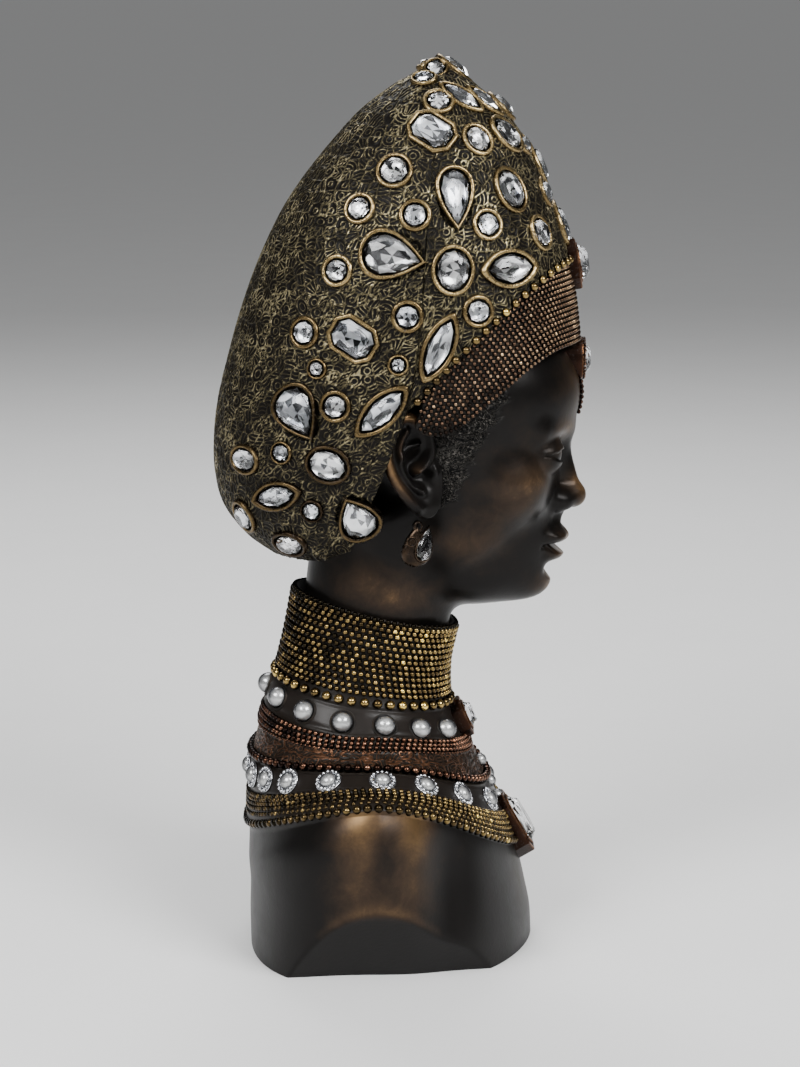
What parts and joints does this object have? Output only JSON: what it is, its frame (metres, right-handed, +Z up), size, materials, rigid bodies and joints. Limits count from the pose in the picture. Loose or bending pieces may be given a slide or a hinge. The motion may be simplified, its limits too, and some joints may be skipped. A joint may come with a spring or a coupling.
{
  "type": "jewelled queen bust",
  "caption": "Cast resin bust of a woman with a tall swept-back jewelled headdress, bead choker and round bead collar.",
  "frame": {"origin": "middle of the flat underside, midway between the chest and the back", "axes": "+Z up, -Y the way the figure faces, -X the figure's right shoulder"},
  "size_m": [0.148, 0.1397, 0.3298],
  "materials": {
    "resin": "dark bronze paint rubbed with antique gold, semi-gloss",
    "crystal": "faceted and foil backed",
    "pearl": "pearl lustre",
    "halo": "silver bead ring round a pearl"
  },
  "bodies": {
    "root": {"brooch_stone_brow": "crystal", "brooch_stone_collar": "crystal", "bust": "resin", "crystal_front_1": "crystal", "crystal_front_2": "crystal", "crystal_navette_07_left": "crystal", "crystal_navette_07_right": "crystal", "crystal_navette_09_left": "crystal", "crystal_navette_09_right": "crystal", "crystal_navette_11_left": "crystal", "crystal_navette_11_right": "crystal", "crystal_octagon_01_left": "crystal", "crystal_octagon_01_right": "crystal", "crystal_octagon_08_left": "crystal", "crystal_octagon_08_right": "crystal", "crystal_oval_03_left": "crystal", "crystal_oval_03_right": "crystal", "crystal_oval_06_left": "crystal", "crystal_oval_06_right": "crystal", "crystal_oval_12_left": "crystal", "crystal_oval_12_right": "crystal", "crystal_pear_02_left": "crystal", "crystal_pear_02_right": "crystal", "crystal_pear_05_left": "crystal", "crystal_pear_05_right": "crystal", "crystal_pear_10_left": "crystal", "crystal_pear_10_right": "crystal", "crystal_round_04_left": "crystal", "crystal_round_04_right": "crystal", "halo_110_left": "halo", "halo_110_right": "halo", "halo_131_left": "halo", "halo_131_right": "halo", "halo_147_left": "halo", "halo_147_right": "halo", "halo_162_left": "halo", "halo_162_right": "halo", "halo_180_mid": "halo", "halo_21_left": "halo", "halo_21_right": "halo", "halo_44_left": "halo", "halo_44_right": "halo", "halo_64_left": "halo", "halo_64_right": "halo", "halo_85_left": "halo", "halo_85_right": "halo", "pearl_102_left": "pearl", "pearl_102_right": "pearl", "pearl_127_left": "pearl", "pearl_127_right": "pearl", "pearl_151_left": "pearl", "pearl_151_right": "pearl", "pearl_180_mid": "pearl", "pearl_31_left": "pearl", "pearl_31_right": "pearl", "pearl_54_left": "pearl", "pearl_54_right": "pearl", "pearl_77_left": "pearl", "pearl_77_right": "pearl", "pendant_stone": "crystal"}
  },
  "joints": []
}
